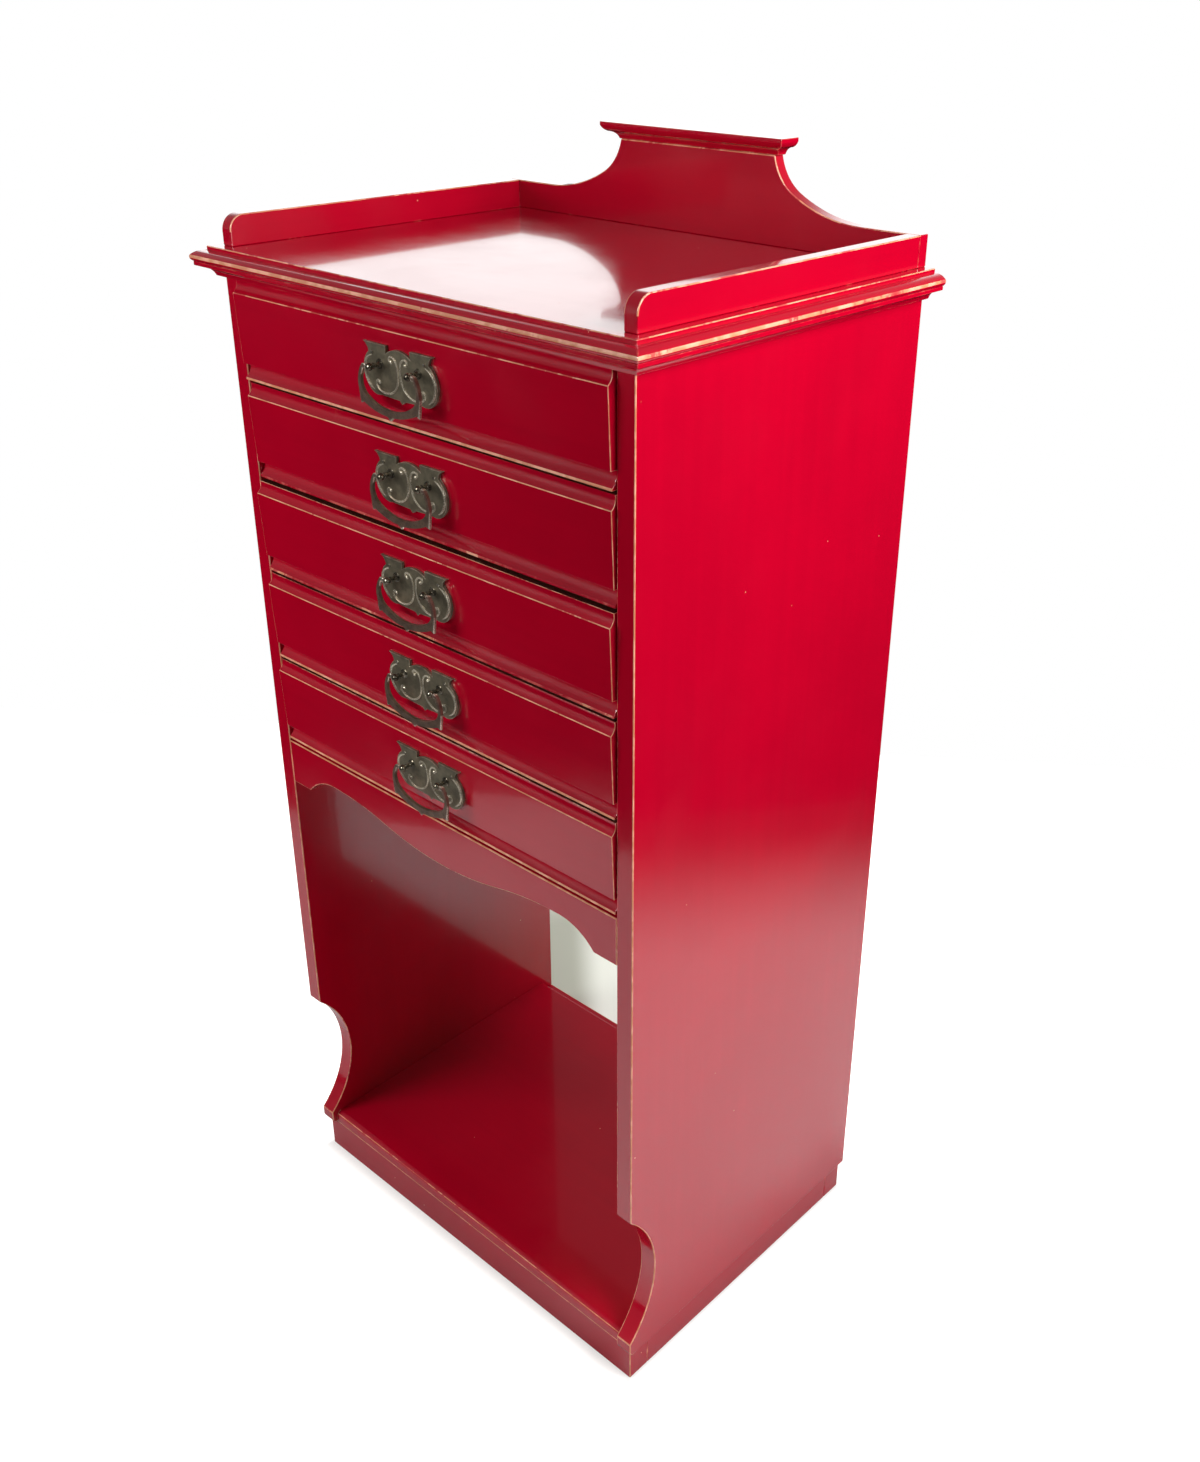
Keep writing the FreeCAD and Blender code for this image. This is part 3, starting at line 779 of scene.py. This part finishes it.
@dataclass
class DropHandle:
    """One bronze handle: backplate with scrolls, turned posts, pins and a swinging bail.

    Sizes are in millimetres, in the handle's own frame: across, up the drawer's field and out
    from it.
    """

    number: int
    reach: float = 14.0
    lean: float = 2.9
    field_height: float = 65.8
    plate_thick: float = 3.0
    plate_ease: float = 0.5
    # The wear values lighten the bronze: rubbed metal, partly a painted highlight.
    plate_wear: float = 0.55
    sunk: float = 0.15
    rib: float = 1.05
    scroll_ends: float = 0.7
    scroll_wear: float = 0.7
    ear_stoutness: float = 1.15
    ear_ends: float = 0.3
    ear_wear: float = 0.74
    boss: float = 1.7
    boss_wear: float = 0.75
    post_half: float = 25.0
    post_foot: float = 0.2
    post_wear: float = 0.35
    ball: float = 3.6
    ball_steps: int = 9
    neck: float = 2.3
    pin_half: float = 34.0
    pin_level: float = 9.0
    pin_wear: float = 0.55
    bail_round: float = 1.3
    bail_wear: float = 0.64
    weld: float = 1e-3
    # Places on the right half of the plate: across and up.
    boss_places: tuple[Place, ...] = ((9.2, 4.2), (27.2, -15.8))
    scroll: tuple[Place, ...] = (
        (9.2, 4.2), (11.6, 4.8), (12.2, 7.0), (9.6, 8.8), (6.0, 8.2), (3.0, 5.2), (1.7, 0.5),
        (1.4, -6.0), (2.4, -12.0), (5.4, -18.5), (12.0, -23.3), (19.5, -24.8), (27.0, -23.6),
        (32.0, -19.5), (31.5, -15.0), (28.6, -14.0), (27.2, -15.8))
    ear: tuple[Place, ...] = (
        (34.5, 6.5), (40.5, 4.5), (44.6, -0.8), (46.0, -7.5), (44.8, -14.5), (40.8, -20.5),
        (35.5, -23.6))
    # Turned profiles: radius, and height over the plate's face.
    post_turning: tuple[Place, ...] = (
        (4.7, 0.3), (4.2, 0.9), (3.0, 1.3), (2.3, 2.4), (2.0, 4.0), (2.1, 6.0), (2.9, 6.9),
        (2.9, 7.4))
    pin_turning: tuple[Place, ...] = (
        (0.0, -1.5), (1.7, -1.5), (1.7, 0.2), (1.4, 0.75), (0.8, 1.05), (0.0, 1.1))

    @property
    def drawer(self) -> str:
        """The body of the handle's drawer."""
        return f"drawer_{self.number}"

    def frame_matrix(self) -> Matrix:
        """The handle's frame: from millimetres in the handle to metres in the cabinet.

        Returns:
            The matrix, with its origin on the field between the posts.
        """
        hinge = f"bail_{self.number}_hinge"
        joints = frame["record"]["behaviour"]["joints"]
        pivot = next(Vector(joint["pos_m"]) for joint in joints if joint["name"] == hinge)
        length = math.hypot(self.lean, self.field_height)
        up = Vector((0.0, -self.lean / length, self.field_height / length))
        out = Vector((0.0, -self.field_height / length, -self.lean / length))
        foot = pivot - out * self.reach * MM
        across = Vector((1.0, 0.0, 0.0))
        turn = Matrix((across, up, out)).transposed().to_4x4()
        return Matrix.Translation(foot) @ turn @ Matrix.Scale(MM, 4)

    def on_plate(self, path: Sequence[Place]) -> list[Point]:
        """Lifts places across and up the plate to the level of the ribs."""
        return [(x, y, self.plate_thick - self.sunk) for x, y in path]

    def bosses(self) -> Shape:
        """The small half-round bosses in which the scrolls end.

        Returns:
            The four bosses.
        """
        shape = bmesh.new()
        for x, y, level in self.on_plate(self.boss_places):
            for side in (-1.0, 1.0):
                bmesh.ops.create_uvsphere(shape, u_segments=14, v_segments=8, radius=self.boss,
                                          matrix=Matrix.Translation((side * x, y, level)))
        return shape

    def ribs(self, path: Sequence[Place], radius: float, ends: float) -> Shape:
        """A tapered half-sunk rib along a smooth curve, with its mirror image.

        Args:
            path: Control points across and up the plate.
            radius: The rib's radius.
            ends: The share of the radius left at both ends.

        Returns:
            The two ribs.
        """
        curve = bpy.data.curves.new("rib", "CURVE")
        curve.dimensions = "3D"
        curve.bevel_depth = radius
        curve.bevel_resolution = 2
        curve.resolution_u = 5
        curve.use_fill_caps = True
        spline = curve.splines.new("NURBS")
        spline.points.add(len(path) - 1)
        for point, place in zip(spline.points, self.on_plate(path)):
            point.co = (*place, 1.0)
            point.radius = 1.0
        spline.points[0].radius = spline.points[-1].radius = ends
        spline.order_u = 3
        spline.use_endpoint_u = True
        holder = bpy.data.objects.new("rib", curve)
        bpy.context.scene.collection.objects.link(holder)
        finished = holder.evaluated_get(bpy.context.evaluated_depsgraph_get())
        mesh = bpy.data.meshes.new_from_object(finished)
        shape = bmesh.new()
        shape.from_mesh(mesh)
        bpy.data.objects.remove(holder)
        bpy.data.curves.remove(curve)
        bpy.data.meshes.remove(mesh)
        bmesh.ops.remove_doubles(shape, verts=shape.verts, dist=self.weld)
        bmesh.ops.mirror(shape, geom=everything(shape), axis="X", merge_dist=-1.0)
        bmesh.ops.recalc_face_normals(shape, faces=shape.faces)
        return shape

    @staticmethod
    def join(target: Shape, extra: Shape, place: Matrix, wear: float) -> None:
        """Adds one mesh to another with one wear value.

        Args:
            target: The mesh that grows.
            extra: The mesh to add, which is freed.
            place: Where it goes.
            wear: The wear of its faces.
        """
        bmesh.ops.transform(extra, matrix=place, verts=extra.verts)
        spare = bpy.data.meshes.new("spare")
        extra.to_mesh(spare)
        extra.free()
        before = set(target.faces)
        target.from_mesh(spare)
        bpy.data.meshes.remove(spare)
        layer = target.faces.layers.float[WEAR_AND_SHADE]
        for face in target.faces:
            if face not in before:
                face[layer] = wear

    @staticmethod
    def turned(profile: Sequence[Place], steps: int = 24) -> Shape:
        """A turned solid about the out axis.

        Args:
            profile: Radius and height pairs, from the base to the tip.
            steps: Faces round the solid.

        Returns:
            The solid.
        """
        shape = bmesh.new()
        verts = [shape.verts.new((radius, 0.0, height)) for radius, height in profile]
        edges = [shape.edges.new(pair) for pair in zip(verts, verts[1:])]
        bmesh.ops.spin(shape, geom=verts + edges, cent=(0, 0, 0), axis=(0, 0, 1),
                       angle=math.tau, steps=steps, use_merge=True)
        bmesh.ops.remove_doubles(shape, verts=shape.verts, dist=1e-4)
        bmesh.ops.recalc_face_normals(shape, faces=shape.faces)
        return shape

    def plate(self) -> Piece:
        """The backplate: eased edges, raised scroll ribs and bosses.

        Returns:
            The piece.
        """
        place = self.frame_matrix()
        node = f"{self.drawer}_handle_plate"
        shape = Bench.merged_copy(node)
        arrises = Bench.round_arrises(shape, self.plate_ease * MM, 2)
        Bench.mark_wear(shape, arrises, self.plate_wear)
        scrolls = self.ribs(self.scroll, self.rib, self.scroll_ends)
        self.join(shape, scrolls, place, self.scroll_wear)
        ears = self.ribs(self.ear, self.rib * self.ear_stoutness, self.ear_ends)
        self.join(shape, ears, place, self.ear_wear)
        self.join(shape, self.bosses(), place, self.boss_wear)
        made = Bench.piece(shape, f"handle_{self.number}_backplate", Bench.bronze.material())
        return Bench.settle(made, self.drawer, Slot.BRONZE, node)

    def posts(self) -> Piece:
        """The two turned posts with ball ends.

        Returns:
            The piece.
        """
        base = self.plate_thick - self.sunk
        profile = [(0.0, self.post_foot), (self.post_turning[0][0], self.post_foot)]
        profile += [(radius, base + height) for radius, height in self.post_turning]
        for step in range(1, self.ball_steps + 1):
            angle = math.pi * step / self.ball_steps
            radius = self.ball * math.sin(angle)
            if radius > self.neck or angle > math.pi / 2:
                profile.append((radius, self.reach - self.ball * math.cos(angle)))
        return self.pair(profile, (self.post_half, 0.0), "posts", self.post_wear)

    def pins(self) -> Piece:
        """The two dome-headed pins in the horns."""
        profile = [(radius, self.plate_thick + height) for radius, height in self.pin_turning]
        return self.pair(profile, (self.pin_half, self.pin_level), "pins", self.pin_wear)

    def pair(self, profile: Sequence[Place], place: Place, word: str, wear: float) -> Piece:
        """Two equal turned solids, left and right.

        Args:
            profile: Radius and height pairs.
            place: Half their spacing, and their height on the plate.
            word: Their name in the handle.
            wear: Their wear.

        Returns:
            The piece.
        """
        half, level = place
        shape = bmesh.new()
        shape.faces.layers.float.new(WEAR_AND_SHADE)
        for side in (-1.0, 1.0):
            spot = self.frame_matrix() @ Matrix.Translation((side * half, level, 0.0))
            self.join(shape, self.turned(profile), spot, wear)
        made = Bench.piece(shape, f"handle_{self.number}_{word}", Bench.dark_bronze.material())
        return Bench.settle(made, self.drawer, Slot.BRONZE, f"{self.drawer}_handle_{word}")

    def bail(self) -> Piece:
        """The swinging bail.

        Returns:
            The piece.
        """
        node = f"{self.drawer}_bail"
        shape = Bench.merged_copy(node)
        arrises = Bench.round_arrises(shape, self.bail_round * MM, 4)
        Bench.mark_wear(shape, arrises, self.bail_wear)
        made = Bench.piece(shape, f"handle_{self.number}_bail", Bench.bail_bronze.material())
        return Bench.settle(made, f"bail_{self.number}", Slot.BRONZE, node)

    def build(self) -> list[Piece]:
        """Builds and dresses the whole handle."""
        return [self.plate(), self.posts(), self.pins(), self.bail()]


@dataclass
class Drawer:
    """One drawer: its moulded front, lip, box and handle, in millimetres."""

    number: int
    lip_wear: float
    top_wear: float
    field_wear: float
    foot_wear: float = 0.22
    right_wear: float = 0.78
    left_wear: float = 0.66
    scuffs: float = 0.05
    # Wear of the front's top face: painted shade in the gap above the drawer, partly dirt.
    gap_shade_and_grime: float = -1.0
    front_half: float = 239.5
    cove_height: float = 11.0
    lip_edge: float = 2.6
    top_edge: float = 1.5
    end_edge: float = 2.0
    wide: float = 300.0
    depths: Place = (-260.0, -150.0)
    levels: Place = (0.0, 1200.0)
    # The box of that painted shade on the front's top face.
    shaded_top_depths: Place = (-260.0, -100.0)
    shaded_top_edge: float = 0.1
    handle: DropHandle = field(init=False)

    def __post_init__(self) -> None:
        """Gives the drawer its handle."""
        self.handle = DropHandle(self.number)

    def band(self, half: float, low: float, high: float, amount: float,
             flats: bool = False) -> WornZone:
        """A level band across the front, up to half to each side of the middle."""
        return WornZone((-half, half), self.depths, (low, high), amount, flats)

    def end(self, middle: float, amount: float) -> WornZone:
        """The upright arris at one end of the front."""
        across = (middle - self.end_edge, middle + self.end_edge)
        return WornZone(across, self.depths, self.levels, amount)

    def boards(self) -> list[Board]:
        """The drawer's boards with their wear.

        Returns:
            The boards.
        """
        name = f"drawer_{self.number}"
        inner = self.front_half - self.end_edge
        foot, head = (corner[2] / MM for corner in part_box(f"{name}_lip"))
        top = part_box(f"{name}_front")[1][2] / MM
        edge, rim = foot + self.lip_edge, top - self.top_edge
        # Painted shade, partly dirt: the front's top face, seen in the gap above the drawer, made
        # dark.
        shaded_top = WornZone((-self.wide, self.wide), self.shaded_top_depths,
                          (top - self.shaded_top_edge, top + self.shaded_top_edge), self.gap_shade_and_grime, flats=True)
        front_zones = (
            self.band(inner, top - self.cove_height, rim, self.scuffs, flats=True),
            self.end(self.front_half, self.right_wear),
            self.end(-self.front_half, self.left_wear),
            self.band(inner, foot, head + 2, self.foot_wear),
            self.band(inner, rim, top + 1, self.top_wear),
            shaded_top)
        lip_zones = (
            self.band(self.wide, edge, head - 1.0, self.scuffs, flats=True),
            self.band(self.wide, foot - 1, edge, self.lip_wear, flats=True))
        return [
            Board(f"{name}_front", Grain.ACROSS, wear=self.field_wear, bevel=0.55 * MM,
                  zones=front_zones),
            Board(f"{name}_lip", Grain.ACROSS, wear=0.4, bevel=0.6 * MM, zones=lip_zones),
            Board(f"{name}_bottom", Grain.ACROSS, slot=Slot.WOOD),
            Board(f"{name}_sides", Grain.DEPTH, slot=Slot.WOOD),
            Board(f"{name}_back", Grain.ACROSS, slot=Slot.WOOD),
        ]

    def build(self) -> list[Piece]:
        """Builds and dresses the drawer with its handle."""
        body = f"drawer_{self.number}"
        return [Bench.board(plan, body) for plan in self.boards()] + self.handle.build()


@dataclass(frozen=True)
class Lamp:
    """A soft rectangular light, in metres and watts."""

    name: str
    at: Point
    towards: Point
    side: float
    watts: float
    unseen: tuple[Ray, ...] = ()

    def build(self) -> Piece:
        """Hangs the light.

        Returns:
            The light.
        """
        data = bpy.data.lights.new(self.name, "AREA")
        data.shape = "RECTANGLE"
        data.size = data.size_y = self.side
        data.energy = self.watts
        made = bpy.data.objects.new(self.name, data)
        bpy.context.scene.collection.objects.link(made)
        facing = (Vector(self.towards) - Vector(self.at)).to_track_quat("-Z", "Y")
        made.matrix_world = Matrix.Translation(self.at) @ facing.to_matrix().to_4x4()
        for ray in self.unseen:
            setattr(made, ray.value, False)
        return made


@dataclass
class Studio:
    """The pale floor, the soft lights, the pale surround and the camera.

    The camera is in degrees and the photograph's pixels, the rest in metres.
    """

    camera_at: Point = (0.9643, -0.9540, 1.3277)
    yaw: float = 41.87
    pitch: float = 26.56
    roll: float = 0.6645
    focal: float = 1456.59
    centre: Place = (650.89, 695.07)
    picture: tuple[int, int] = (1200, 1462)
    sensor: float = 36.0
    paper_half: float = 4.0
    paper_edges: tuple[tuple[Point, float], ...] = (
        ((0.80, 0.60, 0.0), 1.2), ((-0.5, -0.866, 0.0), 1.03), ((-0.6, 0.8, 0.0), 1.1))
    paper_glow: tuple[float, float, float, float] = (1.0, 1.0, 0.97, 1.0)
    # Painted shade: the paper's tone falls towards the front left.
    sheet_way: Point = (0.7, 0.7, 0.0)
    sheet_span: Place = (-1.0, 0.8)
    sheet_shade_tones: Place = (0.58, 0.90)
    mottle_rate: float = 6.0
    mottle: float = 0.1
    fade_way: Point = (0.8, 0.6, 0.0)
    fade_span: Place = (0.78, 1.14)
    fade_tone: float = 0.04
    # Painted shadow round the plinth: darker paper close to the cabinet's footprint.
    footprint: Point = (0.254, 0.182, 0.0)
    plinth_shadow_tone: float = 0.45
    plinth_shadow_reach: float = 0.1
    # Painted shadow where the paper meets the plinth: its glow for the camera falls there, thinner
    # at the ends.
    contact_shadow_reach: float = 0.022
    contact_shadow_glow: float = 0.55
    end_thinness: float = 3.0
    # Painted shadow behind the left side: darker paper and a weaker glow for the camera, with a
    # lighter band towards the right.
    dim_at: Point = (-0.28, 0.285, 0.0)
    dim_span: Place = (0.105, 0.385)
    dim_tone: Colour = (0.54, 0.56, 0.47)
    gap_way: Point = (0.687, 0.727, 0.0)
    gap_reach: float = 0.05
    gap_glow: float = 0.42
    rear_way: Place = (-0.74, 0.66)
    rear_light: float = 1.5
    room_light: float = 0.12
    under_light: float = 0.003
    lamps: tuple[Lamp, ...] = (
        Lamp("window_right", (1.3, 0.15, 1.45), (0.26, 0.0, 1.05), 0.9, 29.0),
        Lamp("room_left", (-1.0, -1.4, 1.15), (0.0, -0.19, 0.8), 0.9, 18.8, (Ray.GLOSSY,)),
        Lamp("spark_front", (0.0, -1.5, 1.7), (0.0, -0.2, 0.85), 0.5, 34.0, (Ray.DIFFUSE,)),
        Lamp("rear_left", (-0.35, 0.9, 0.8), (-0.05, 0.05, 0.06), 0.4, 2.2,
             (Ray.GLOSSY, Ray.CAMERA)))

    def camera(self) -> Piece:
        """The camera at the photograph's viewing angle.

        Returns:
            The camera.
        """
        yaw, pitch, roll = (math.radians(angle) for angle in (self.yaw, self.pitch, self.roll))
        level = math.cos(pitch)
        back = Vector((math.sin(yaw) * level, -math.cos(yaw) * level, math.sin(pitch)))
        right = (-back).cross(Vector((0.0, 0.0, 1.0))).normalized()
        up = right.cross(-back)
        tilted_right = right * math.cos(roll) + up * math.sin(roll)
        tilted_up = up * math.cos(roll) - right * math.sin(roll)
        lens = bpy.data.cameras.new("photo_camera")
        long_side = max(self.picture)
        lens.sensor_width = self.sensor
        lens.lens = self.sensor * self.focal / long_side
        lens.shift_x = (self.picture[0] / 2 - self.centre[0]) / long_side
        lens.shift_y = (self.centre[1] - self.picture[1] / 2) / long_side
        made = bpy.data.objects.new("photo_camera", lens)
        bpy.context.scene.collection.objects.link(made)
        turn = Matrix((tilted_right, tilted_up, back)).transposed().to_4x4()
        made.matrix_world = Matrix.Translation(self.camera_at) @ turn
        bpy.context.scene.camera = made
        return made

    def paper(self) -> Material:
        """White paper, darker to the right, with painted shade to the front left, at the plinth
        and behind the left side.

        Returns:
            The material.
        """
        made = bpy.data.materials.new("white_paper")
        graph = Graph(made)
        where = graph.where()
        # Painted shade: darker paper towards the front left.
        across = graph.vector("DOT_PRODUCT", where, self.sheet_way)
        mottle = graph.noise(even(self.mottle_rate))
        spread = graph.math("MULTIPLY_ADD", mottle, self.mottle, across)
        sheet = graph.mix(graph.ramp(spread, *self.sheet_span), *map(even, self.sheet_shade_tones))
        right = graph.vector("DOT_PRODUCT", where, self.fade_way)
        faded = graph.mix(graph.ramp(right, *self.fade_span), sheet, even(self.fade_tone))
        # Painted shadow round the plinth: darker paper close to the cabinet's footprint.
        beyond = graph.vector("SUBTRACT", graph.vector("ABSOLUTE", where), self.footprint)
        gap = graph.add("SeparateXYZ", {0: beyond}).outputs
        outside = graph.math("MAXIMUM", gap["X"], gap["Y"])
        near = graph.mix(graph.ramp(outside, 0.0, self.plinth_shadow_reach), even(self.plinth_shadow_tone), faded)
        # Painted shadow behind the left side, in the tone and the camera's glow; a band towards
        # the right stays lighter.
        away = graph.vector("DISTANCE", where, self.dim_at)
        bright = graph.ramp(away, *self.dim_span)
        tone = graph.mix(bright, self.dim_tone, near)
        aside = graph.vector("DOT_PRODUCT", where, self.gap_way)
        glimpse = graph.ramp(aside, 0.0, self.gap_reach, 0.0, self.gap_glow)
        lit = graph.math("MAXIMUM", bright, glimpse)
        # Painted shadow where the paper meets the plinth: a weaker glow for the camera, thinner at
        # the ends.
        narrow = graph.math("MULTIPLY", gap["X"], self.end_thinness)
        snug = graph.math("MAXIMUM", narrow, gap["Y"])
        contact_shadow = graph.ramp(snug, 0.0, self.contact_shadow_reach, self.contact_shadow_glow)
        glow = graph.math("MULTIPLY", graph.seen(), graph.math("MULTIPLY", lit, contact_shadow))
        graph.finish({"Base Color": tone, "Roughness": 0.9, "Specular IOR Level": 0.0,
                      "Emission Color": self.paper_glow, "Emission Strength": glow})
        return made

    def floor(self) -> Piece:
        """A sheet of white paper under the cabinet.

        Returns:
            The floor.
        """
        shape = bmesh.new()
        bmesh.ops.create_grid(shape, x_segments=8, y_segments=8, size=self.paper_half)
        for away, reach in self.paper_edges:
            bmesh.ops.bisect_plane(shape, geom=everything(shape), plane_co=Vector(away) * reach,
                                   plane_no=away, clear_outer=True)
        mesh = bpy.data.meshes.new("floor")
        shape.to_mesh(mesh)
        shape.free()
        mesh.materials.append(self.paper())
        made = bpy.data.objects.new("floor", mesh)
        bpy.context.scene.collection.objects.link(made)
        return made

    def surround(self) -> None:
        """White to the eye. For light and reflections dim, and brighter low at the left rear."""
        world = bpy.data.worlds.new("surround")
        bpy.context.scene.world = world
        graph = Graph(world)
        way = graph.add("SeparateXYZ", {0: graph.add("TexCoord").outputs["Generated"]}).outputs
        above = graph.ramp(way["Z"], -0.02, 0.03)
        low = graph.ramp(way["Z"], 0.6, 0.3)
        leftward = graph.math("MULTIPLY", way["X"], self.rear_way[0])
        rearward = graph.math("MULTIPLY_ADD", way["Y"], self.rear_way[1], leftward)
        rear = graph.math("MULTIPLY", graph.ramp(rearward, 0.35, 0.85), low)
        light = graph.math("MULTIPLY_ADD", rear, self.rear_light, self.room_light)
        level = graph.math("MULTIPLY_ADD", above, light, self.under_light)
        strength = graph.math("MAXIMUM", graph.seen(), level)
        shine = graph.add("Background", {"Color": (1.0, 1.0, 1.0, 1.0), "Strength": strength})
        output = graph.add("OutputWorld")
        graph.tree.links.new(shine.outputs[0], output.inputs[0])

    def build(self) -> None:
        """Sets up the studio."""
        self.camera()
        self.floor()
        self.surround()
        for lamp in self.lamps:
            lamp.build()
        bpy.context.scene.view_settings.view_transform = "Standard"


def main() -> None:
    """Builds the studio and every sub-assembly in order."""
    logging.basicConfig(level=logging.INFO, format="%(message)s")
    Studio().build()
    pieces = Carcase().build() + Gallery().build()
    for number, wear in enumerate(DRAWER_WEAR, start=1):
        pieces += Drawer(number, *wear).build()
    LOG.info("%d pieces", len(pieces))


if __name__ == "__main__":
    main()
